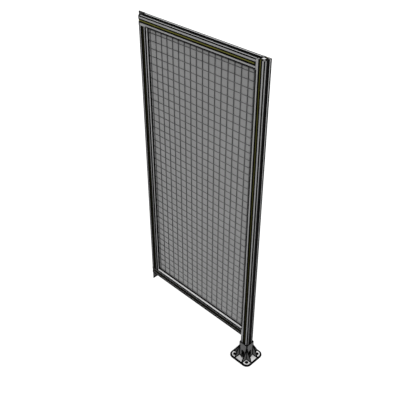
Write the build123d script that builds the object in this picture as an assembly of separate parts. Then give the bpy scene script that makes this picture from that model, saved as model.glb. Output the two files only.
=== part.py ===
from build123d import *
import os

os.makedirs("parts", exist_ok=True)

# Driving dimensions of the panel, in millimetres.
# The origin is under the middle of the post, on the floor; the panel runs towards -X.
profile_side = 50.0
post_height = 1876.0
panel_length = 800.0
rail_underside = 168.0

# Grooved square profile: four T grooves round a solid core, with four solid corners.
corner_radius = 2.5
groove_mouth = 10.0
mouth_chamfer = 2.0
lip_thickness = 5.0
groove_width = 21.0
groove_straight_depth = 8.5
groove_depth = 14.0
groove_floor_width = 11.0

# Infill: a sheet with a welded wire mesh in front of it, held in the inner grooves.
infill_bite = 10.0
sheet_thickness = 2.0
wire_side = 3.2
mesh_pitch = 41.3
upright_wires = 18
cross_wires = 39
lower_mesh_cross_wires = 20
first_cross_wire_height = 225.6
first_upright_wire_place = -744.4
seal_proud = 1.0
seal_depth = 9.0

# Coloured cover strips that close the front and back grooves.
cover_mouth_width = 9.9
cover_foot_width = 15.0
cover_foot_thickness = 1.5
cover_play = 0.05

# Cast floor foot.
plate_side = 152.0
plate_thickness = 7.0
plate_corner_radius = 33.0
plate_chamfer = 1.5
socket_height = 118.0
socket_side = 59.0
socket_clearance = 0.2
rib_thickness = 4.0
rib_reach = 64.0
rib_top = 89.0
rib_end_height = 25.0
anchor_spacing = 94.0
anchor_hole_radius = 5.0
arch_width = 12.0
arch_top = 57.0

# Screws that hold the post in the foot, with a washer on the socket's wall and a nut in the groove.
foot_screw_height = 17.0
screw_radius = 3.9
shank_end_gap = 0.5
nut_side = 18.0
screw_head_radius = 6.5
screw_head_thickness = 8.0
screw_key_radius = 3.4
screw_key_depth = 4.0
washer_radius = 8.0
washer_thickness = 1.6

# Steel angle on the free end of the panel, held by hexagon screws.
angle_thickness = 5.0
angle_outstand = 50.0
angle_side_leg = 45.0
angle_bottom = 113.0
angle_root_radius = 6.0
angle_toe_radius = 2.5
angle_screw_heights = [320.0, 1000.0, 1680.0]
angle_screw_hole_radius = 4.2
angle_hole_radius = 4.5
angle_hole_heights = [250.0, 750.0, 1250.0, 1750.0]
angle_hole_from_edge = 20.0
hexagon_radius = 7.5
hexagon_thickness = 5.3

# How far a joined piece sinks into its neighbour, and how far a cut runs past the face it opens.
overlap = 1.0

half = profile_side / 2
opening_bottom = rail_underside + profile_side
opening_top = post_height - profile_side
stile_inner_face = -panel_length + profile_side
post_inner_face = -half
rail_length = panel_length - half
infill_front = -wire_side - sheet_thickness / 2
upright_wire_front = infill_front + wire_side
sheet_front = upright_wire_front + wire_side
infill_back = sheet_front + sheet_thickness


def box(x0, x1, y0, y1, z0, z1):
    """A block between two corners."""
    centre = Location(((x0 + x1) / 2, (y0 + y1) / 2, (z0 + z1) / 2))
    return centre * Box(x1 - x0, y1 - y0, z1 - z0)


def profile_section():
    """Cross-section of the grooved profile, centred on its axis."""
    section = RectangleRounded(profile_side, profile_side, corner_radius)
    lip_floor = half - lip_thickness
    straight_floor = half - groove_straight_depth
    groove_floor = half - groove_depth
    groove = Polyline(
        (-groove_mouth / 2 - mouth_chamfer, half),
        (-groove_mouth / 2, half - mouth_chamfer),
        (-groove_mouth / 2, lip_floor),
        (-groove_width / 2, lip_floor),
        (-groove_width / 2, straight_floor),
        (-groove_floor_width / 2, groove_floor),
        (groove_floor_width / 2, groove_floor),
        (groove_width / 2, straight_floor),
        (groove_width / 2, lip_floor),
        (groove_mouth / 2, lip_floor),
        (groove_mouth / 2, half - mouth_chamfer),
        (groove_mouth / 2 + mouth_chamfer, half),
        (-groove_mouth / 2 - mouth_chamfer, half),
    )
    cut = make_face(groove)
    for quarter in range(4):
        section -= Rot(0, 0, 90 * quarter) * cut
    return section


def upright_profile(x, z0, z1):
    """A length of profile standing on end."""
    return Pos(x, 0, z0) * extrude(profile_section(), z1 - z0)


def level_profile(x0, x1, z):
    """A length of profile lying along the panel."""
    return Pos(x0, 0, z) * Rot(0, 90, 0) * extrude(profile_section(), x1 - x0)


def cover_section():
    """Cross-section of a cover strip for a groove that opens towards +Y."""
    mouth_floor = half - lip_thickness
    head_face = half - mouth_chamfer
    head = Pos(0, (head_face + mouth_floor) / 2) * Rectangle(cover_mouth_width, head_face - mouth_floor)
    foot_place = mouth_floor - cover_play - cover_foot_thickness / 2
    foot = Pos(0, foot_place) * Rectangle(cover_foot_width, cover_foot_thickness)
    neck = Pos(0, mouth_floor - cover_play / 2) * Rectangle(cover_mouth_width, cover_play)
    return head + neck + foot


def upright_cover(x, z0, z1, side):
    """A cover strip in a standing profile; side is -1 for the front and 1 for the back."""
    turn = 0 if side > 0 else 180
    return Pos(x, 0, z0) * Rot(0, 0, turn) * extrude(cover_section(), z1 - z0)


def level_cover(x0, x1, z, side):
    """A cover strip in a level profile."""
    turn = 0 if side > 0 else 180
    return Pos(x0, 0, z) * Rot(0, 90, 0) * Rot(0, 0, turn) * extrude(cover_section(), x1 - x0)


def wire_mesh(first_row, last_row, z0, z1):
    """Upright wires with the level wires welded to their front, as one piece."""
    wires = []
    for column in range(upright_wires):
        x = first_upright_wire_place + column * mesh_pitch
        wires.append(box(x - wire_side / 2, x + wire_side / 2, upright_wire_front, sheet_front, z0, z1))
    for row in range(first_row, last_row):
        z = first_cross_wire_height + row * mesh_pitch
        x0 = stile_inner_face - infill_bite
        x1 = post_inner_face + infill_bite
        wires.append(box(x0, x1, infill_front, upright_wire_front, z - wire_side / 2, z + wire_side / 2))
    mesh = wires[0].fuse(*wires[1:])
    return mesh


def seal_pair(x0, x1, z0, z1, front_inner):
    """The two rubber strips that close a groove mouth before and behind the infill."""
    mouth = groove_mouth / 2
    front = box(x0, x1, -mouth, front_inner, z0, z1)
    back = box(x0, x1, infill_back, mouth, z0, z1)
    return Compound([front, back])


def rib(turn, offset):
    """One sloping gusset of the foot, running out from a socket corner towards +X."""
    start = half + socket_clearance
    sunk = plate_thickness - overlap
    outline = Polyline(
        (start, sunk),
        (rib_reach, sunk),
        (rib_reach, rib_end_height),
        (socket_side / 2, rib_top),
        (start, rib_top),
        (start, sunk),
    )
    blade = extrude(make_face(Plane.XZ * outline), rib_thickness / 2, both=True)
    return Rot(0, 0, turn) * Pos(0, offset, 0) * blade


def arch():
    """The cutter for the tall slot with a round top in the socket wall that faces +X."""
    arch_radius = arch_width / 2
    inner = half - overlap
    outer = socket_side / 2 + overlap
    column = box(inner, outer, -arch_radius, arch_radius, plate_thickness, arch_top - arch_radius)
    top = Pos((inner + outer) / 2, 0, arch_top - arch_radius) * Rot(0, 90, 0) * Cylinder(arch_radius, outer - inner)
    return column + top


def floor_foot():
    """Cast foot: a square plate, an upright socket, eight ribs and four arched slots."""
    plate = extrude(RectangleRounded(plate_side, plate_side, plate_corner_radius), plate_thickness)
    plate = chamfer(plate.faces().sort_by(Axis.Z)[-1].edges(), plate_chamfer)
    foot = plate + extrude(Rectangle(socket_side, socket_side), socket_height)
    rib_offset = (socket_side - rib_thickness) / 2
    for quarter in range(4):
        foot += rib(90 * quarter, rib_offset)
        foot += rib(90 * quarter, -rib_offset)
    inside = half + socket_clearance
    foot -= box(-inside, inside, -inside, inside, plate_thickness, socket_height + overlap)
    for quarter in range(4):
        foot -= Rot(0, 0, 90 * quarter) * arch()
    for x in (-anchor_spacing / 2, anchor_spacing / 2):
        for y in (-anchor_spacing / 2, anchor_spacing / 2):
            foot -= Pos(x, y, plate_thickness / 2) * Cylinder(anchor_hole_radius, plate_thickness * 2)
    return foot


def disc(radius, x0, x1):
    """A round piece along +X."""
    return Pos((x0 + x1) / 2, 0, 0) * Rot(0, 90, 0) * Cylinder(radius, x1 - x0)


def prism(radius, x0, x1):
    """A hexagonal piece along +X."""
    return Pos(x0, 0, 0) * Rot(0, 90, 0) * extrude(RegularPolygon(radius, 6), x1 - x0)


def shank_and_nut(clamped_face):
    """The shank of a screw along +X, with its nut under the lips of a groove that faces +X."""
    shank = disc(screw_radius, half - groove_depth + shank_end_gap, clamped_face)
    across = nut_side / 2
    return shank + box(half - groove_straight_depth, half - lip_thickness, -across, across, -across, across)


def foot_screw():
    """A round-headed screw with a hexagon key hole and a washer, on the socket's wall."""
    wall = socket_side / 2
    seat = wall + washer_thickness
    end = seat + screw_head_thickness
    screw = shank_and_nut(wall) + disc(washer_radius, wall, seat) + disc(screw_head_radius, seat, end)
    return screw - prism(screw_key_radius, end - screw_key_depth, end + overlap)


def angle_screw():
    """A hexagon-headed screw on the steel angle."""
    face = half + angle_thickness
    return shank_and_nut(face) + prism(hexagon_radius, face, face + hexagon_thickness)


def wall_angle():
    """Rolled steel angle on the panel's free end, with its outstanding leg at the back."""
    end = -panel_length
    tip = end - angle_outstand
    toe = half - angle_side_leg
    inner_x = end - angle_thickness
    inner_y = half - angle_thickness
    outline = Polyline(
        (end, toe), (end, half), (tip, half), (tip, inner_y), (inner_x, inner_y), (inner_x, toe), (end, toe)
    )
    section = make_face(outline)
    root = section.vertices().sort_by_distance((inner_x, inner_y, 0))[0]
    section = fillet(root, angle_root_radius)
    toes = [section.vertices().sort_by_distance(place)[0] for place in ((tip, inner_y, 0), (inner_x, toe, 0))]
    section = fillet(toes, angle_toe_radius)
    angle = Pos(0, 0, angle_bottom) * extrude(section, post_height - angle_bottom)
    for z in angle_hole_heights:
        place = Pos(tip + angle_hole_from_edge, half, z) * Rot(90, 0, 0)
        angle -= place * Cylinder(angle_hole_radius, angle_thickness * 4)
    for z in angle_screw_heights:
        angle -= Pos(end, 0, z) * Rot(0, 90, 0) * Cylinder(angle_screw_hole_radius, angle_thickness * 4)
    return angle


def write(node, shape):
    """Save one piece under its own name."""
    export_step(shape, f"parts/{node}.step")


write("post", upright_profile(0, plate_thickness, post_height))
write("top_rail", level_profile(-panel_length, -half, post_height - half))
write("bottom_rail", level_profile(-panel_length, -half, rail_underside + half))
write("left_stile", upright_profile(-panel_length + half, opening_bottom, opening_top))

write("front_cover_post", upright_cover(0, socket_height, post_height, -1))
write("back_cover_post", upright_cover(0, socket_height, post_height, 1))
write("front_cover_stile", upright_cover(-panel_length + half, opening_bottom, opening_top, -1))
write("back_cover_stile", upright_cover(-panel_length + half, opening_bottom, opening_top, 1))
write("front_cover_top_rail", level_cover(-panel_length, -half, post_height - half, -1))
write("back_cover_top_rail", level_cover(-panel_length, -half, post_height - half, 1))
write("front_cover_bottom_rail", level_cover(-panel_length, -half, rail_underside + half, -1))
write("back_cover_bottom_rail", level_cover(-panel_length, -half, rail_underside + half, 1))

sheet = box(
    stile_inner_face - infill_bite,
    post_inner_face + infill_bite,
    sheet_front,
    infill_back,
    opening_bottom - infill_bite,
    opening_top + infill_bite,
)
write("infill_sheet", sheet)

middle_height = first_cross_wire_height + (lower_mesh_cross_wires - 0.5) * mesh_pitch
write("lower_mesh", wire_mesh(0, lower_mesh_cross_wires, opening_bottom - infill_bite, middle_height))
write("upper_mesh", wire_mesh(lower_mesh_cross_wires, cross_wires, middle_height, opening_top + infill_bite))

write("seal_top", seal_pair(
    stile_inner_face, post_inner_face, opening_top - seal_proud, opening_top + seal_depth, upright_wire_front
))
write("seal_bottom", seal_pair(
    stile_inner_face, post_inner_face, opening_bottom - seal_depth, opening_bottom + seal_proud, upright_wire_front
))
write("seal_left", seal_pair(
    stile_inner_face - seal_depth, stile_inner_face + seal_proud,
    opening_bottom + seal_proud, opening_top - seal_proud, infill_front
))
write("seal_right", seal_pair(
    post_inner_face - seal_proud, post_inner_face + seal_depth,
    opening_bottom + seal_proud, opening_top - seal_proud, infill_front
))

write("floor_foot", floor_foot())
sides = ["right", "back", "left", "front"]
for quarter, side in enumerate(sides):
    write(f"foot_screw_{side}", Rot(0, 0, 90 * quarter) * Pos(0, 0, foot_screw_height) * foot_screw())

write("wall_angle", wall_angle())
screw_axis = -panel_length + half
write("angle_screws", Compound([
    Pos(screw_axis, 0, z) * Rot(0, 0, 180) * angle_screw() for z in angle_screw_heights
]))
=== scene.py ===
import math

import bmesh
import bpy
from mathutils import Matrix, Vector


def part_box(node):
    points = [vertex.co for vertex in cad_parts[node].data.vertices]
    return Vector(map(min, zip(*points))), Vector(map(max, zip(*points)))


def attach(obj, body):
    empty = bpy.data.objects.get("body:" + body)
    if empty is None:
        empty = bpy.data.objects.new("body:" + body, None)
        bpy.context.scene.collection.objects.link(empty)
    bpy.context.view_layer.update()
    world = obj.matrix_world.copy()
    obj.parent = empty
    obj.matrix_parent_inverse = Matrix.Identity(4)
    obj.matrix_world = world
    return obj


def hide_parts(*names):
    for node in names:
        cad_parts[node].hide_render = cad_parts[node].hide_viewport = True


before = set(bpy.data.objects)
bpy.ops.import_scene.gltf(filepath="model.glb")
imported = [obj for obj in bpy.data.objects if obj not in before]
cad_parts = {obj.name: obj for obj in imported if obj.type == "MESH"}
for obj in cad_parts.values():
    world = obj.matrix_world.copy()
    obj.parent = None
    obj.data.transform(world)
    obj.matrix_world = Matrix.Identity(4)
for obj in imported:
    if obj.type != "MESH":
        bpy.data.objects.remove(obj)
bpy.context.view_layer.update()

# Places read from the frame, in metres. The post's axis runs up through the origin.
post_low, post_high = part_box("post")
stile_low, stile_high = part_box("left_stile")
bottom_low, bottom_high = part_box("bottom_rail")
top_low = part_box("top_rail")[0]
mesh_low, mesh_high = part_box("lower_mesh")
mesh_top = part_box("upper_mesh")[1].z
foot_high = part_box("floor_foot")[1]
angle_low, angle_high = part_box("wall_angle")
stile_axis = (stile_low.x + stile_high.x) / 2
opening_left, opening_right = stile_high.x, post_low.x
opening_bottom, opening_top = bottom_high.z, top_low.z

mm = 0.001

# The profile's section.
profile_half = (post_high.x - post_low.x) / 2
mouth_half = 5.0 * mm
chamfer = 2.0 * mm
groove_half = 10.5 * mm
groove_margin = 0.4 * mm
core_half = 11.0 * mm

# Welded wire mesh.
wire_thickness = 3.2 * mm
wire_sides = 12
mesh_pitch = 41.3 * mm
upright_wires = 18
level_wires = 39
first_upright_wire = -744.4 * mm
first_level_wire = 225.6 * mm
weld_spread = 1.45
weld_flatness = 0.55
weld_segments, weld_rings = 8, 5

# Cast foot.
plate_half = foot_high.x
plate_top = 7.0 * mm
plate_corner = 33.0 * mm
socket_half = 29.5 * mm
rib_inner_side = 25.5 * mm
rib_reach = 64.0 * mm
rib_end_top = 25.0 * mm
rib_top = 89.0 * mm
arch_half = 6.0 * mm
arch_centre = 51.0 * mm
anchor_place = 47.0 * mm
anchor_radius = 5.0 * mm
cast_edge = 0.8 * mm
cast_edge_segments = 2

# Copies of frame nodes: what is merged, what is flat and what is a sharp edge.
merge_distance = 0.01 * mm
flat_angle = math.radians(1.0)
sharp_angle = math.radians(50.0)

# Screws. Each station of an outline is a distance from the post's or stile's axis and a radius.
screw_sides = 24
hexagon_sides = 6
foot_screw_height = 17.0 * mm
foot_screw_top = 39.1 * mm
key_recess_floor = 35.1 * mm
key_recess_radius = 3.4 * mm
foot_screw_outline = (
    (foot_screw_top, 5.9 * mm), (38.9 * mm, 6.3 * mm), (38.4 * mm, 6.5 * mm), (31.1 * mm, 6.5 * mm),
    (31.1 * mm, 7.7 * mm), (30.8 * mm, 8.0 * mm), (29.8 * mm, 8.0 * mm), (29.5 * mm, 7.7 * mm),
    (29.5 * mm, 3.9 * mm), (11.5 * mm, 3.9 * mm),
)
angle_screw_heights = (320.0 * mm, 1000.0 * mm, 1680.0 * mm)
hexagon_radius = 7.5 * mm
hexagon_seat = 30.0 * mm
hexagon_shoulder = 34.6 * mm
hexagon_top = 35.3 * mm
hexagon_top_radius = 6.2 * mm
angle_screw_shank = ((hexagon_seat, 3.9 * mm), (11.5 * mm, 3.9 * mm))
nut_half = 9.0 * mm
nut_low = 16.5 * mm
nut_high = 20.0 * mm
nut_edge = 0.5 * mm

# Dark lines along the edges of the profiles, in millimetres at the floor and at the panel's top.
# Each face has a low and a high half: the first pair is the line along the arris, the second the
# line beside the groove's mouth. The broad faces look to the front and the back of the panel.
line_widths = {
    "post": {
        "broad": {"low": ((7.0, 6.5), (4.3, 3.8)), "high": ((6.2, 5.0), (6.0, 5.0))},
        "narrow": {"low": ((6.8, 5.0), (8.0, 6.0)), "high": ((11.5, 10.5), (5.0, 3.5))},
    },
    "left_stile": {
        "broad": {"low": ((9.0, 8.0), (7.0, 5.5)), "high": ((7.5, 6.5), (9.2, 6.8))},
        "narrow": {"low": ((5.8, 5.2), (9.0, 6.5)), "high": ((5.8, 5.2), (9.0, 6.5))},
    },
    "top_rail": {
        "broad": {"low": ((6.5, 6.5), (3.8, 3.8)), "high": ((5.5, 5.5), (4.0, 4.0))},
        "narrow": {"low": ((6.0, 6.0), (9.5, 9.5)), "high": ((9.8, 9.8), (4.9, 4.9))},
    },
    "bottom_rail": {
        "broad": {"low": ((15.0, 15.0), (1.5, 1.5)), "high": ((8.0, 8.0), (8.5, 8.5))},
        "narrow": {"low": ((4.0, 4.0), (3.4, 3.4)), "high": ((4.0, 4.0), (3.4, 3.4))},
    },
}
line_softness = 0.5 * mm
rail_end_line = 8.0 * mm

# How far a surface looks along an axis: 0 is square to it and 1 is straight along it.
facing_slightly = 0.2
facing_mostly = 0.5
facing_bright = 0.6
facing_fully = 0.8
facing_softness = 0.1
bright_softness = 0.2

# Dark rims of the solid corners and of the core, where a profile is sawn off.
corner_inner_rim = 2.0 * mm
corner_outer_rim = 3.2 * mm
core_rim = 3.6 * mm

# Dark lines of the casting. Its masks overlap by a seam, so that no gap opens between two lines.
plate_rim_line = 11.25 * mm
anchor_line = 5.625 * mm
root_line = 3.75 * mm
socket_mouth_line = 6.0 * mm
socket_arris_line = 6.0 * mm
socket_foot_line = 2.25 * mm
socket_rib_line = 5.25 * mm
rib_edge_line = 6.75 * mm
rib_foot_line = 4.5 * mm
arch_line = 5.25 * mm
seam_low = 0.2 * mm
seam_high = 0.6 * mm
seam_softness = 0.2 * mm

# Dark lines of the angle.
angle_edge_line = 5.0 * mm
angle_top_line = 2.0 * mm
angle_foot_line = 11.0 * mm

# Olive band of each cover strip: the strip's direction, half the band's width at the foot of the
# panel and at its top, and the share of olive in it there. The rest of the strip is black.
olive_bands = {
    "post": ("Z", 1.0 * mm, 2.0 * mm, 0.22, 0.68),
    "stile": ("Z", 1.0 * mm, 1.0 * mm, 0.10, 0.22),
    "top_rail": ("X", 2.6 * mm, 2.6 * mm, 0.95, 0.95),
    "bottom_rail": ("X", 1.0 * mm, 1.0 * mm, 0.16, 0.16),
}
olive_softness = 1.0 * mm

# Painted shade on the front of the sheet beside the upright wires, beside the post and under the
# top rail, and painted light on the sheet: low down, and beside the left stile.
wire_shade = 0.42
wire_shade_reach = 9.0 * mm
frame_shade = 0.9
post_shade_reach = 28.5 * mm
rail_shade_reach = 19.5 * mm
frame_shade_corner = 10.0 * mm
frame_shade_softness = 2.0 * mm
painted_light_share_low_down = 0.38
pale_beside_stile = 5.0 * mm
plain_beside_stile = 25.0 * mm
grit_share = 0.35

# Shares of painted light on the lowest level wires and of black on the post's side at the floor.
level_wire_painted_light_share = 0.8
post_side_black_share = 0.33

# Spans of a noise pattern that a mix of two colours or a roughness runs over, and the share of a
# pattern's clouds that is left along a drawn, a moulded and a scuffed surface.
cloud_span = (0.35, 0.65)
wide_span = (0.3, 0.7)
wire_span = (0.35, 0.7)
grit_span = (0.62, 0.72)
scuff_span = (0.64, 0.70)
scuffed_span = (0.45, 0.6)
cloud_roughness = 0.55
drawn_stretch = 0.004
moulded_stretch = 0.01
scuff_stretch = 0.06


def grey(level):
    """A neutral colour."""
    return (level, level, level)


# Colours, as linear red, green and blue.
line_black = grey(0.0029)
# Painted shade in the profiles' grooves and on the floor under the foot's plate.
painted_shade_black = grey(0.0107)
aluminium = (0.34, 0.34, 0.343)
aluminium_streak = (0.285, 0.285, 0.288)
# Painted light and painted glints on the lit sides of the profiles.
aluminium_glint = (0.70, 0.70, 0.708)
painted_light_aluminium = {
    "post": grey(0.37),
    "left_stile": grey(0.48),
    "top_rail": grey(0.45),
    "bottom_rail": grey(0.88),
}
sawn_core = grey(0.5)
sawn_corner = grey(0.179)
olive = (0.152, 0.149, 0.034)
olive_deep = (0.125, 0.123, 0.027)
strip_black = (0.0021, 0.0021, 0.0014)
sheet_grey = grey(0.280)
sheet_deep = grey(0.257)
# Painted light on the sheet, low down and beside the left stile.
sheet_painted_light = grey(0.365)
sheet_grit = grey(0.205)
sheet_shaded = grey(0.0714)
upright_wire_dark = (0.0114, 0.0114, 0.0121)
upright_wire_worn = (0.0243, 0.0243, 0.0257)
# Painted light on the level wires, paler than the upright ones.
lit_level_wire_dark = (0.070, 0.070, 0.071)
lit_level_wire_worn = (0.098, 0.098, 0.0995)
level_wire_painted_light = (0.165, 0.165, 0.167)
rubber_black = grey(0.0057)
rubber_dusty = grey(0.0114)
casting_grey = grey(0.147)
casting_dark = grey(0.125)
casting_rib = grey(0.1)
casting_painted_light = grey(0.66)
# Painted light on the casting's level surfaces.
casting_painted_light_pit = grey(0.50)
oxide_black = grey(0.0086)
oxide_worn = grey(0.0157)
zinc_bright = (0.3, 0.3, 0.307)
zinc_dull = (0.214, 0.214, 0.221)
angle_grey = grey(0.075)
angle_dark = grey(0.060)
angle_scuff = grey(0.1)
white = grey(1.0)

# The photograph's view: lens and sensor in millimetres, place in metres.
camera_lens = 57.19
camera_sensor = 36.0
camera_place = (1.62568, -2.01382, 2.95329)
camera_direction = (-1, 1, -1)

# Lamps: turn from the front towards the right, height and angular size in degrees, and strength.
lamps = {
    "front_soft": (45.0, 12.0, 24.0, 1.68),
    "above_soft": (45.0, 78.0, 40.0, 1.96),
    "behind_soft": (190.0, 60.0, 40.0, 1.54),
}
world_level = 0.35

# The floor, with a painted shadow under the foot's plate that shows through the anchor holes.
floor_size = 12.0
floor_glow = 0.75
floor_grey = grey(0.286)
floor_roughness = 0.9
covered_floor = 62.0 * mm


class Finish:
    """A material whose colour, roughness and relief come from patterns on object coordinates."""

    def __init__(self, name, metallic=0.0, specular=0.0):
        self.material = bpy.data.materials.new(name)
        self.material.use_nodes = True
        self.tree = self.material.node_tree
        self.shader = self.tree.nodes["Principled BSDF"]
        self.shader.inputs["Metallic"].default_value = metallic
        self.shader.inputs["Specular IOR Level"].default_value = specular
        coordinates = self.tree.nodes.new("ShaderNodeTexCoord")
        self.place = coordinates.outputs["Object"]
        self.x, self.y, self.z = self.split(self.place)
        self.facing_x, self.facing_y, self.facing_z = self.split(coordinates.outputs["Normal"])

    def feed(self, socket, value):
        """Link a socket, or set a plain number or colour."""
        if isinstance(value, bpy.types.NodeSocket):
            self.tree.links.new(value, socket)
        elif isinstance(value, tuple):
            socket.default_value = (*value, 1.0)
        else:
            socket.default_value = value

    def split(self, vector):
        """The three parts of a vector."""
        parts = self.tree.nodes.new("ShaderNodeSeparateXYZ")
        self.feed(parts.inputs[0], vector)
        return parts.outputs[0], parts.outputs[1], parts.outputs[2]

    def math(self, operation, *values):
        """One sum on numbers or sockets."""
        step = self.tree.nodes.new("ShaderNodeMath")
        step.operation = operation
        for socket, value in zip(step.inputs, values):
            self.feed(socket, value)
        return step.outputs[0]

    def plus(self, value, amount):
        """The sum of two values."""
        return self.math("ADD", value, amount)

    def minus(self, value, amount):
        """The difference of two values."""
        return self.math("SUBTRACT", value, amount)

    def size(self, value):
        """A value without its sign."""
        return self.math("ABSOLUTE", value)

    def distance(self, value, centre):
        """How far a coordinate is from a place."""
        return self.size(self.minus(value, centre))

    def past(self, value, limit):
        """How far a coordinate is over a limit, and 0 under it."""
        return self.math("MAXIMUM", self.minus(value, limit), 0.0)

    def length(self, first, second):
        """The length of a flat vector."""
        square = self.math("MULTIPLY", first, first)
        return self.math("SQRT", self.math("MULTIPLY_ADD", second, second, square))

    def least(self, first, second):
        """The smaller of two values."""
        return self.math("MINIMUM", first, second)

    def most(self, *values):
        """The largest of several values."""
        result = values[0]
        for value in values[1:]:
            result = self.math("MAXIMUM", result, value)
        return result

    def all_of(self, *masks):
        """The product of several masks."""
        result = masks[0]
        for mask in masks[1:]:
            result = self.math("MULTIPLY", result, mask)
        return result

    def without(self, mask):
        """1 where a mask is 0, and 0 where it is 1."""
        return self.minus(1.0, mask)

    def ramp(self, value, start, end, low=0.0, high=1.0):
        """A straight ramp from low at start to high at end, flat beyond them."""
        step = self.tree.nodes.new("ShaderNodeMapRange")
        step.clamp = True
        for socket, number in zip(step.inputs, (value, start, end, low, high)):
            self.feed(socket, number)
        return step.outputs[0]

    def choose(self, share, first, second):
        """The first value where the share is 0, the second where it is 1."""
        return self.ramp(share, 0.0, 1.0, first, second)

    def above(self, value, limit, softness=line_softness):
        """1 where a value is over a limit, 0 where it is under it."""
        return self.ramp(value, limit - softness / 2, limit + softness / 2)

    def below(self, value, limit, softness=line_softness):
        """1 where a value is under a limit, 0 where it is over it."""
        return self.ramp(value, limit + softness / 2, limit - softness / 2)

    def between(self, value, low, high):
        """1 where a value lies between two limits."""
        return self.all_of(self.above(value, low), self.below(value, high))

    def line(self, widths):
        """A line's width, going from its value at the floor to its value at the panel's top."""
        at_floor, at_top = widths
        return self.ramp(self.z, 0.0, post_high.z, at_floor * mm, at_top * mm)

    def noise(self, per_metre, stretch=(1.0, 1.0, 1.0), detail=3.0):
        """A cloudy pattern of some clouds per metre, with a share of them along each axis."""
        spread = self.tree.nodes.new("ShaderNodeMapping")
        spread.inputs["Scale"].default_value = [per_metre * share for share in stretch]
        self.feed(spread.inputs["Vector"], self.place)
        cloud = self.tree.nodes.new("ShaderNodeTexNoise")
        cloud.inputs["Scale"].default_value = 1.0
        cloud.inputs["Detail"].default_value = detail
        cloud.inputs["Roughness"].default_value = cloud_roughness
        self.feed(cloud.inputs["Vector"], spread.outputs[0])
        return cloud.outputs["Fac"]

    def mix(self, share, first, second):
        """A colour between two colours."""
        step = self.tree.nodes.new("ShaderNodeMix")
        step.data_type = "RGBA"
        self.feed(step.inputs["Factor"], share)
        colours = [socket for socket in step.inputs if socket.type == "RGBA"]
        self.feed(colours[0], first)
        self.feed(colours[1], second)
        return [socket for socket in step.outputs if socket.type == "RGBA"][0]

    def finish(self, colour, pattern, roughness, relief, depth):
        """The material with its colour, a roughness that follows a pattern, and a relief."""
        bump = self.tree.nodes.new("ShaderNodeBump")
        bump.inputs["Distance"].default_value = depth
        self.feed(bump.inputs["Height"], relief)
        self.feed(self.shader.inputs["Base Color"], colour)
        self.feed(self.shader.inputs["Roughness"], self.ramp(pattern, *wide_span, *roughness))
        self.feed(self.shader.inputs["Normal"], bump.outputs[0])
        return self.material


def profile_finish(name, node, along):
    """Drawn, anodised aluminium profile: dark edges, painted shade in grooves, painted light on one
    side.
    """
    metal = Finish(name, metallic=0.25)
    low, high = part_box(node)
    centre = (low + high) / 2
    if along == "Z":
        first, length = metal.minus(metal.x, centre.x), metal.z
        end_facing, bright_facing = metal.facing_z, metal.facing_x
        stretch = (1.0, 1.0, drawn_stretch)
    else:
        first, length = metal.minus(metal.z, centre.z), metal.x
        end_facing, bright_facing = metal.facing_x, metal.facing_z
        stretch = (drawn_stretch, 1.0, 1.0)
    second = metal.minus(metal.y, centre.y)
    inner = metal.least(metal.size(first), metal.size(second))
    outer = metal.most(metal.size(first), metal.size(second))

    # Painted light: the right sides of the uprights and the tops of the rails are brighter than the
    # front, with painted glints.
    painted_light_side = metal.above(bright_facing, facing_bright, bright_softness)
    painted_light = painted_light_side
    if node == "post":
        painted_light = metal.all_of(painted_light_side, metal.above(second, 0.0))
    elif node == "bottom_rail":
        painted_light = metal.all_of(painted_light_side, metal.above(length, opening_left))
    streaks = metal.noise(per_metre=220.0, stretch=stretch)
    clouds = metal.noise(per_metre=6.0)
    drawn = metal.noise(per_metre=1600.0, stretch=stretch, detail=2.0)
    cloudy_streaks = metal.math("MULTIPLY", metal.plus(streaks, clouds), 0.5)
    plain_metal = metal.mix(metal.ramp(cloudy_streaks, *cloud_span), aluminium, aluminium_streak)
    painted_glints = metal.ramp(streaks, *wide_span)
    painted_light_metal = metal.mix(painted_glints, painted_light_aluminium[node], aluminium_glint)
    side = metal.mix(painted_light, plain_metal, painted_light_metal)
    if node == "post":
        darker_low_down = metal.ramp(length, 0.0, high.z, post_side_black_share, 0.0)
        side = metal.mix(metal.all_of(painted_light_side, darker_low_down), side, line_black)

    edges = edge_lines(metal, node, first, second, inner, length)
    if along == "X":
        edges = metal.most(edges, metal.below(length, low.x + rail_end_line))
    # Painted shade inside the grooves.
    in_groove = metal.below(outer, profile_half - chamfer - groove_margin)
    side = metal.mix(in_groove, metal.mix(edges, side, line_black), painted_shade_black)
    end_face = metal.above(metal.size(end_facing), facing_mostly, facing_softness)
    colour = metal.mix(end_face, side, sawn_end(metal, inner, outer))
    return metal.finish(colour, clouds, roughness=(0.42, 0.55), relief=drawn, depth=0.03 * mm)


def edge_lines(metal, node, first, second, inner, length):
    """The dark lines along the arrises and beside the mouths of the grooves."""
    broad = metal.above(metal.size(second), profile_half - chamfer)
    arris_line, mouth_line = face_lines(metal, node, broad, first, second)
    arris = metal.above(metal.plus(inner, arris_line), profile_half)
    arris = metal.all_of(arris, metal.without(joint_mask(metal, node, first, length)))
    mouth = metal.below(metal.minus(inner, mouth_line), mouth_half + chamfer)
    return metal.most(arris, mouth)


def face_lines(metal, node, broad, first, second):
    """Widths of the lines at the arris and at the mouth, for each face and each half of it."""
    widths = line_widths[node]
    chosen = []
    for line in (0, 1):
        faces = []
        for face, place in (("narrow", second), ("broad", first)):
            low, high = (metal.line(widths[face][half][line]) for half in ("low", "high"))
            faces.append(metal.choose(metal.above(place, 0.0), low, high))
        chosen.append(metal.choose(broad, *faces))
    return chosen


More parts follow.
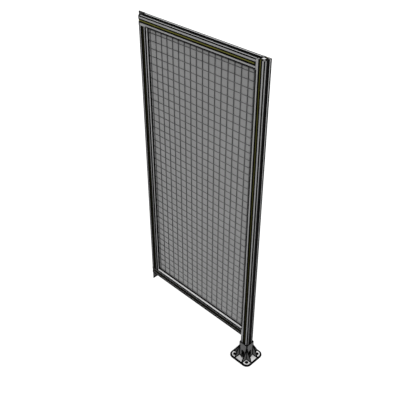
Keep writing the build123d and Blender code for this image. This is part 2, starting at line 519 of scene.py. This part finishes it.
def joint_mask(metal, node, first, length):
    """1 where an edge of this profile runs into another profile without a line."""
    if node == "post":
        beside_bottom = metal.between(length, bottom_low.z, bottom_high.z)
        beside_top = metal.above(length, top_low.z)
        return metal.all_of(metal.below(first, 0.0), metal.most(beside_bottom, beside_top))
    if node == "top_rail":
        return metal.all_of(metal.below(first, 0.0), metal.below(length, opening_left))
    return 0.0


def sawn_end(metal, inner, outer):
    """Colours of a sawn end: a bright core and duller corners, each in a black rim."""
    core = metal.below(outer, core_half - core_rim)
    corner = metal.all_of(metal.above(inner, groove_half + corner_inner_rim),
                          metal.below(outer, profile_half - corner_outer_rim))
    return metal.mix(corner, metal.mix(core, line_black, sawn_core), sawn_corner)


def cover_finish(name, node, along, half_at_floor, half_at_top, share_at_floor, share_at_top):
    """Black plastic strip with an olive band along its middle."""
    plastic = Finish(name)
    low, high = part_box(node)
    centre = (low + high) / 2
    if along == "Z":
        across = plastic.distance(plastic.x, centre.x)
        stretch = (1.0, 1.0, moulded_stretch)
    else:
        across = plastic.distance(plastic.z, centre.z)
        stretch = (moulded_stretch, 1.0, 1.0)
    band_half = plastic.ramp(plastic.z, bottom_low.z, post_high.z, half_at_floor, half_at_top)
    beside_band = plastic.above(plastic.minus(across, band_half), 0.0, olive_softness)
    if along == "X":
        beside_band = plastic.most(beside_band, plastic.above(plastic.x, high.x - rail_end_line))
    clouds = plastic.noise(per_metre=9.0)
    lines = plastic.noise(per_metre=900.0, stretch=stretch, detail=2.0)
    band = plastic.mix(plastic.ramp(clouds, *cloud_span), olive, olive_deep)
    share = plastic.ramp(plastic.z, bottom_low.z, post_high.z, share_at_floor, share_at_top)
    colour = plastic.mix(plastic.all_of(share, plastic.without(beside_band)), strip_black, band)
    return plastic.finish(colour, lines, roughness=(0.45, 0.6), relief=lines, depth=0.05 * mm)


def sheet_finish():
    """Powder-coated grey sheet with fine orange peel and grit, with painted light and painted
    shade.
    """
    coat = Finish("grey_sheet_coat", specular=0.3)
    clouds = coat.noise(per_metre=3.0)
    peel = coat.noise(per_metre=700.0, detail=2.0)
    grit = coat.noise(per_metre=2500.0, detail=1.0)
    # Painted light: the sheet is paler low down and beside the left stile.
    from_stile = coat.minus(coat.x, opening_left)
    painted_paler = coat.most(coat.ramp(coat.z, opening_bottom, opening_top, painted_light_share_low_down, 0.0),
                      coat.ramp(from_stile, pale_beside_stile, plain_beside_stile, 1.0, 0.0))
    colour = coat.mix(coat.ramp(clouds, *cloud_span), sheet_grey, sheet_deep)
    colour = coat.mix(painted_paler, colour, sheet_painted_light)
    colour = coat.mix(coat.ramp(grit, *grit_span, 0.0, grit_share), colour, sheet_grit)
    front = coat.below(coat.facing_y, -facing_mostly, facing_softness)
    colour = coat.mix(coat.all_of(beside_wires(coat), front), colour, sheet_shaded)
    colour = coat.mix(coat.all_of(beside_frame(coat), front, frame_shade), colour, line_black)
    return coat.finish(colour, peel, roughness=(0.5, 0.62), relief=peel, depth=0.08 * mm)


def beside_wires(coat):
    """Shade that fades away from each upright wire."""
    first_cell = first_upright_wire - mesh_pitch / 2
    wires_along = coat.math("DIVIDE", coat.minus(coat.x, first_cell), mesh_pitch)
    from_wire = coat.distance(coat.math("FRACT", wires_along), 0.5)
    from_wire = coat.math("MULTIPLY", from_wire, mesh_pitch)
    return coat.ramp(from_wire, wire_thickness / 2, wire_shade_reach, wire_shade, 0.0)


def beside_frame(coat):
    """1 beside the post and under the top rail, with a round inner corner."""
    past_right = coat.past(coat.x, opening_right - post_shade_reach - frame_shade_corner)
    past_top = coat.past(coat.z, opening_top - rail_shade_reach - frame_shade_corner)
    return coat.above(coat.length(past_right, past_top), frame_shade_corner, frame_shade_softness)


def wire_finish():
    """Dip-coated wire; painted light makes the level wires paler than the upright ones, more so low
    down.
    """
    coat = Finish("wire_coat", specular=0.15)
    thin_coat = coat.ramp(coat.noise(per_metre=25.0), *wire_span)
    grain = coat.noise(per_metre=1200.0)
    upright = coat.mix(thin_coat, upright_wire_dark, upright_wire_worn)
    # Painted light: the level wires are paler, more so low down.
    level = coat.mix(thin_coat, lit_level_wire_dark, lit_level_wire_worn)
    painted_paler = coat.ramp(coat.z, opening_bottom, opening_top, level_wire_painted_light_share, 0.0)
    level = coat.mix(painted_paler, level, level_wire_painted_light)
    colour = coat.mix(coat.below(coat.y, mesh_low.y + wire_thickness), upright, level)
    return coat.finish(colour, grain, roughness=(0.45, 0.62), relief=grain, depth=0.06 * mm)


def rubber_finish():
    """Matt black rubber."""
    rubber = Finish("black_rubber")
    grain = rubber.noise(per_metre=1500.0)
    colour = rubber.mix(rubber.noise(per_metre=30.0), rubber_black, rubber_dusty)
    return rubber.finish(colour, grain, roughness=(0.75, 0.92), relief=grain, depth=0.08 * mm)


def casting_finish():
    """Grey painted casting with dark edges and painted light on what lies level."""
    cast = Finish("cast_foot_paint")
    across_x, across_y = cast.size(cast.x), cast.size(cast.y)
    near, far = cast.least(across_x, across_y), cast.most(across_x, across_y)
    on_rib = cast.above(far, socket_half + seam_low, seam_softness)
    upward = cast.above(cast.facing_z, facing_slightly, facing_softness)
    over_plate = cast.above(cast.z, plate_top + seam_low, seam_softness)
    upper = cast.most(upward, socket_lines(cast, near, far), rib_lines(cast, far, on_rib))
    lower = plate_lines(cast, across_x, across_y, near, far)
    lines = cast.most(lower, cast.all_of(over_plate, upper))

    sand = cast.noise(per_metre=450.0, detail=4.0)
    clouds = cast.noise(per_metre=18.0)
    colour = cast.mix(cast.ramp(clouds, *cloud_span), casting_grey, casting_dark)
    colour = cast.mix(on_rib, colour, casting_rib)
    # Painted light: what lies level is much paler than the walls.
    painted_light_top = cast.mix(cast.ramp(sand, *wide_span), casting_painted_light, casting_painted_light_pit)
    colour = cast.mix(cast.above(cast.facing_z, facing_fully, facing_softness), colour, painted_light_top)
    colour = cast.mix(lines, colour, line_black)
    return cast.finish(colour, sand, roughness=(0.55, 0.75), relief=sand, depth=0.35 * mm)


def plate_lines(cast, across_x, across_y, near, far):
    """The plate's rim and sides, and the lines round the anchor holes, the ribs and the socket."""
    centre = plate_half - plate_corner
    from_corner = cast.length(cast.past(across_x, centre), cast.past(across_y, centre))
    rim = cast.above(from_corner, plate_corner - plate_rim_line)
    side = cast.below(cast.facing_z, facing_mostly, facing_softness)
    beside_x, beside_y = cast.minus(across_x, anchor_place), cast.minus(across_y, anchor_place)
    from_anchor = cast.length(beside_x, beside_y)
    round_anchor = cast.below(from_anchor, anchor_radius + anchor_line)
    round_rib = cast.all_of(cast.between(near, rib_inner_side - root_line, socket_half + root_line),
                            cast.below(far, rib_reach + root_line))
    round_socket = cast.below(far, socket_half + root_line)
    on_plate = cast.below(cast.z, plate_top + seam_high, seam_softness)
    return cast.all_of(on_plate, cast.most(rim, side, round_rib, round_anchor, round_socket))


def socket_lines(cast, near, far):
    """The lines of the socket's mouth, arrises and foot, beside the ribs and round the arches."""
    mouth = cast.above(cast.z, foot_high.z - socket_mouth_line)
    arris = cast.above(near, socket_half - socket_arris_line)
    beside_rib = cast.all_of(cast.above(near, rib_inner_side - socket_rib_line),
                             cast.below(cast.z, rib_top))
    foot = cast.below(cast.z, plate_top + socket_foot_line)
    arch = cast.below(cast.length(near, cast.past(cast.z, arch_centre)), arch_half + arch_line)
    on_wall = cast.below(far, socket_half + seam_high, seam_softness)
    return cast.most(mouth, cast.all_of(on_wall, cast.most(arris, beside_rib, foot, arch)))


def rib_lines(cast, far, on_rib):
    """The lines of a rib's sloping edge, end, foot and root."""
    run, rise = rib_reach - socket_half, rib_top - rib_end_top
    slope = math.hypot(run, rise)
    along_run = cast.math("MULTIPLY", cast.minus(far, rib_reach), rise / slope)
    along_rise = cast.math("MULTIPLY", cast.minus(cast.z, rib_end_top), run / slope)
    edge = cast.above(cast.plus(along_run, along_rise), -rib_edge_line)
    end = cast.above(far, rib_reach - rib_edge_line)
    foot = cast.below(cast.z, plate_top + rib_foot_line)
    root = cast.below(far, socket_half + root_line)
    return cast.all_of(on_rib, cast.most(edge, end, foot, root))


def black_screw_finish():
    """Blackened steel with faint clouds."""
    steel = Finish("black_oxide", metallic=0.2, specular=0.2)
    grain = steel.noise(per_metre=1500.0)
    worn = steel.ramp(steel.noise(per_metre=150.0), *cloud_span)
    colour = steel.mix(worn, oxide_black, oxide_worn)
    return steel.finish(colour, grain, roughness=(0.4, 0.6), relief=grain, depth=0.05 * mm)


def zinc_finish():
    """Bright zinc plating with faint clouds."""
    zinc = Finish("zinc_plating", metallic=0.7, specular=0.5)
    grain = zinc.noise(per_metre=1500.0)
    colour = zinc.mix(zinc.noise(per_metre=120.0), zinc_bright, zinc_dull)
    return zinc.finish(colour, grain, roughness=(0.32, 0.5), relief=grain, depth=0.05 * mm)


def angle_finish():
    """Dark grey painted steel angle with black edges and a few scuffs."""
    steel = Finish("dark_angle_paint")
    ends = steel.most(steel.below(steel.z, angle_low.z + angle_foot_line),
                      steel.above(steel.z, angle_high.z - angle_top_line))
    outer_edge = steel.below(steel.x, angle_low.x + angle_edge_line)
    clouds = steel.noise(per_metre=8.0)
    grain = steel.noise(per_metre=900.0)
    scratches = steel.noise(per_metre=60.0, stretch=(1.0, 1.0, scuff_stretch), detail=5.0)
    scuffs = steel.all_of(steel.ramp(scratches, *scuff_span), steel.ramp(clouds, *scuffed_span))
    colour = steel.mix(steel.ramp(clouds, *cloud_span), angle_grey, angle_dark)
    colour = steel.mix(scuffs, colour, angle_scuff)
    colour = steel.mix(steel.most(ends, outer_edge), colour, line_black)
    return steel.finish(colour, grain, roughness=(0.5, 0.68), relief=grain, depth=0.08 * mm)


def wear(node, material):
    """Give a node of the frame its finish."""
    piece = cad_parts[node]
    if not piece.data.materials:
        piece.data.materials.append(material)
    for slot in piece.material_slots:
        slot.material = material


def new_piece(name, shape, material, slot, *nodes):
    """A finished piece of the object from a bmesh, standing for some nodes of the frame."""
    mesh = bpy.data.meshes.new(name)
    shape.to_mesh(mesh)
    shape.free()
    mesh.materials.append(material)
    piece = bpy.data.objects.new(name, mesh)
    bpy.context.scene.collection.objects.link(piece)
    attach(piece, "root")
    if nodes:
        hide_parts(*nodes)
    return piece


def wire(shape, start, end):
    """A round wire between two points."""
    radius = wire_thickness / 2
    turn = (end - start).to_track_quat("Z", "Y").to_matrix().to_4x4()
    bmesh.ops.create_cone(
        shape, cap_ends=True, segments=wire_sides, radius1=radius, radius2=radius,
        depth=(end - start).length, matrix=Matrix.Translation((start + end) / 2) @ turn
    )


def repeat(piece, count, step):
    """Repeat a piece in a row."""
    row = piece.modifiers.new("row", "ARRAY")
    row.use_relative_offset = False
    row.use_constant_offset = True
    row.constant_offset_displace = step
    row.count = count


def welded_mesh(material):
    """Upright wires with level wires welded to their front, and a bead at each crossing."""
    radius = wire_thickness / 2
    upright_y = mesh_high.y - radius
    level_y = mesh_low.y + radius
    weld_y = (upright_y + level_y) / 2
    x, z = first_upright_wire, first_level_wire
    along_panel = (mesh_pitch, 0.0, 0.0)
    up_panel = (0.0, 0.0, mesh_pitch)

    upright = bmesh.new()
    wire(upright, Vector((x, upright_y, mesh_low.z)), Vector((x, upright_y, mesh_top)))
    uprights = new_piece("upright_wires", upright, material, "wire", "lower_mesh", "upper_mesh")
    repeat(uprights, upright_wires, along_panel)

    level = bmesh.new()
    wire(level, Vector((mesh_low.x, level_y, z)), Vector((mesh_high.x, level_y, z)))
    levels = new_piece("level_wires", level, material, "wire")
    repeat(levels, level_wires, up_panel)

    bead = bmesh.new()
    flat = Matrix.Diagonal((1.0, weld_flatness, 1.0, 1.0))
    bmesh.ops.create_uvsphere(
        bead, u_segments=weld_segments, v_segments=weld_rings, radius=radius * weld_spread,
        matrix=Matrix.Translation((x, weld_y, z)) @ flat
    )
    beads = new_piece("weld_beads", bead, material, "wire")
    repeat(beads, upright_wires, along_panel)
    repeat(beads, level_wires, up_panel)

    # All faces are smooth but the flat ends of the wires.
    for piece in (uprights, levels, beads):
        for face in piece.data.polygons:
            face.use_smooth = len(face.vertices) < wire_sides


def merged_copy(node):
    """The shape of a frame node with its loose triangles joined and its flat faces whole."""
    shape = bmesh.new()
    shape.from_mesh(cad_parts[node].data)
    bmesh.ops.remove_doubles(shape, verts=shape.verts, dist=merge_distance)
    bmesh.ops.dissolve_limit(shape, angle_limit=flat_angle, verts=shape.verts, edges=shape.edges)
    return shape


def bevel(shape, edges, width, segments):
    """Round or break some edges."""
    return bmesh.ops.bevel(
        shape, geom=edges, offset=width, offset_type="OFFSET", affect="EDGES", segments=segments,
        profile=0.5, clamp_overlap=True, material=-1
    )


def cast_foot(material):
    """The foot with the rounded edges of a casting."""
    shape = merged_copy("floor_foot")
    sharp = [edge for edge in shape.edges
             if edge.is_manifold and edge.calc_face_angle() > sharp_angle]
    for face in bevel(shape, sharp, cast_edge, cast_edge_segments)["faces"]:
        face.smooth = True
    new_piece("cast_foot", shape, material, "casting", "floor_foot")


def ring(shape, along, radius, corners=screw_sides):
    """A loop of edges round +Z with the screws' number of sides, round or with a few corners."""
    place = Matrix.Translation((0.0, 0.0, along))
    made = bmesh.ops.create_circle(shape, segments=corners, radius=radius, matrix=place)["verts"]
    edges = list({edge for corner in made for edge in corner.link_edges})
    if corners < screw_sides:
        cut = bmesh.ops.subdivide_edges(shape, edges=edges, cuts=screw_sides // corners - 1)
        parts = {part for part in cut["geom"] if isinstance(part, bmesh.types.BMEdge)}
        edges = list(set(edges) | parts)
    return edges


def skin(shape, rings):
    """Faces between each loop of edges and the next."""
    for first, second in zip(rings, rings[1:]):
        bmesh.ops.bridge_loops(shape, edges=first + second)


def close(shape, edges):
    """A flat face in a loop of edges."""
    bmesh.ops.contextual_create(shape, geom=edges)


def nut(shape):
    """The square nut under the groove's lips, with its corners broken."""
    size = Matrix.Diagonal((2 * nut_half, 2 * nut_half, nut_high - nut_low, 1.0))
    place = Matrix.Translation((0.0, 0.0, (nut_low + nut_high) / 2))
    made = bmesh.ops.create_cube(shape, size=1.0, matrix=place @ size)["verts"]
    bevel(shape, list({edge for corner in made for edge in corner.link_edges}), nut_edge, 1)


def place_screw(shape, turn, height, axis):
    """Turn a screw from +Z to a level direction and move it to its place."""
    level = Matrix.Rotation(math.pi / 2, 4, "Y")
    turned = Matrix.Rotation(turn, 4, "Z") @ level
    matrix = Matrix.Translation((axis, 0.0, height)) @ turned
    bmesh.ops.transform(shape, matrix=matrix, verts=shape.verts)


def foot_screw(side, turn, material):
    """A round-headed screw with a rounded rim, a hexagon recess, a washer and a nut."""
    shape = bmesh.new()
    floor_ring = ring(shape, key_recess_floor, key_recess_radius, hexagon_sides)
    mouth_ring = ring(shape, foot_screw_top, key_recess_radius, hexagon_sides)
    outline = [ring(shape, along, radius) for along, radius in foot_screw_outline]
    skin(shape, [floor_ring, mouth_ring] + outline)
    close(shape, floor_ring)
    close(shape, outline[-1])
    nut(shape)
    bmesh.ops.recalc_face_normals(shape, faces=shape.faces)
    place_screw(shape, turn, foot_screw_height, 0.0)
    new_piece(f"socket_screw_{side}", shape, material, "screw", f"foot_screw_{side}")


def hexagon_screws(material):
    """The screws of the angle, their hexagon heads with turned tops, and their nuts."""
    row = bmesh.new()
    for height in angle_screw_heights:
        shape = bmesh.new()
        top = ring(shape, hexagon_top, hexagon_top_radius)
        shoulder = ring(shape, hexagon_shoulder, hexagon_radius, hexagon_sides)
        seat = ring(shape, hexagon_seat, hexagon_radius, hexagon_sides)
        shank = [ring(shape, along, radius) for along, radius in angle_screw_shank]
        skin(shape, [top, shoulder, seat] + shank)
        close(shape, top)
        close(shape, shank[-1])
        nut(shape)
        bmesh.ops.recalc_face_normals(shape, faces=shape.faces)
        place_screw(shape, math.pi, height, stile_axis)
        one = bpy.data.meshes.new("screw")
        shape.to_mesh(one)
        shape.free()
        row.from_mesh(one)
        bpy.data.meshes.remove(one)
    new_piece("hexagon_screws", row, material, "screw", "angle_screws")


def put_in_scene(name, data):
    """A lamp, a camera or a mesh as an object of the scene."""
    holder = bpy.data.objects.new(name, data)
    bpy.context.scene.collection.objects.link(holder)
    return holder


def look_along(holder, direction):
    """Point a lamp or a camera."""
    holder.rotation_mode = "QUATERNION"
    holder.rotation_quaternion = Vector(direction).to_track_quat("-Z", "Y")


def set_camera():
    """The photograph's view."""
    lens = bpy.data.cameras.new("view")
    lens.lens = camera_lens
    lens.sensor_width = camera_sensor
    camera = put_in_scene("view", lens)
    camera.location = camera_place
    look_along(camera, camera_direction)
    bpy.context.scene.camera = camera


def set_lamps():
    """Even lamps far away."""
    for name, (turn, height, spread, strength) in lamps.items():
        lamp = bpy.data.lights.new(name, "SUN")
        lamp.energy = strength
        lamp.angle = math.radians(spread)
        turn, height = math.radians(turn), math.radians(height)
        level = math.cos(height)
        towards = Vector((math.sin(turn) * level, -math.cos(turn) * level, math.sin(height)))
        look_along(put_in_scene(name, lamp), -towards)


def seen_directly(tree):
    """1 for what the camera, a gloss or a glass sees."""
    path = tree.nodes.new("ShaderNodeLightPath")
    seen = path.outputs["Is Camera Ray"]
    for ray in ("Is Glossy Ray", "Is Transmission Ray"):
        either = tree.nodes.new("ShaderNodeMath")
        either.operation = "MAXIMUM"
        tree.links.new(seen, either.inputs[0])
        tree.links.new(path.outputs[ray], either.inputs[1])
        seen = either.outputs[0]
    return seen


def set_world():
    """White to the eye and a soft even light on the object."""
    world = bpy.data.worlds.new("studio")
    bpy.context.scene.world = world
    world.use_nodes = True
    tree = world.node_tree
    background = tree.nodes["Background"]
    background.inputs["Color"].default_value = (*white, 1.0)
    level = tree.nodes.new("ShaderNodeMapRange")
    level.inputs["To Min"].default_value = world_level
    level.inputs["To Max"].default_value = 1.0
    tree.links.new(seen_directly(tree), level.inputs["Value"])
    tree.links.new(level.outputs[0], background.inputs["Strength"])


def set_floor():
    """A plain white floor that keeps a faint shadow, with a painted shadow where the foot's plate
    covers it.
    """
    shape = bmesh.new()
    bmesh.ops.create_grid(shape, x_segments=1, y_segments=1, size=floor_size)
    mesh = bpy.data.meshes.new("floor")
    shape.to_mesh(mesh)
    shape.free()
    floor = put_in_scene("floor", mesh)
    paper = Finish("floor_white")
    shader = paper.shader.inputs
    reach = paper.most(paper.size(paper.x), paper.size(paper.y))
    uncovered = paper.above(reach, covered_floor)
    glow = paper.all_of(seen_directly(paper.tree), floor_glow, uncovered)
    shader["Roughness"].default_value = floor_roughness
    shader["Emission Color"].default_value = (*white, 1.0)
    paper.feed(shader["Base Color"], paper.mix(uncovered, painted_shade_black, floor_grey))
    paper.feed(shader["Emission Strength"], glow)
    mesh.materials.append(paper.material)


set_camera()
set_world()
set_floor()
set_lamps()
bpy.context.scene.view_settings.view_transform = "Standard"

wear("post", profile_finish("post_aluminium", "post", "Z"))
wear("left_stile", profile_finish("stile_aluminium", "left_stile", "Z"))
wear("top_rail", profile_finish("top_rail_aluminium", "top_rail", "X"))
wear("bottom_rail", profile_finish("bottom_rail_aluminium", "bottom_rail", "X"))
for side in ("front", "back"):
    for place, band in olive_bands.items():
        node = f"{side}_cover_{place}"
        wear(node, cover_finish(f"{node}_plastic", node, *band))
wear("infill_sheet", sheet_finish())
rubber = rubber_finish()
for place in ("top", "bottom", "left", "right"):
    wear(f"seal_{place}", rubber)
cast_foot(casting_finish())
wear("wall_angle", angle_finish())
black_steel = black_screw_finish()
for quarter, place in enumerate(("right", "back", "left", "front")):
    foot_screw(place, quarter * math.pi / 2, black_steel)
hexagon_screws(zinc_finish())
welded_mesh(wire_finish())
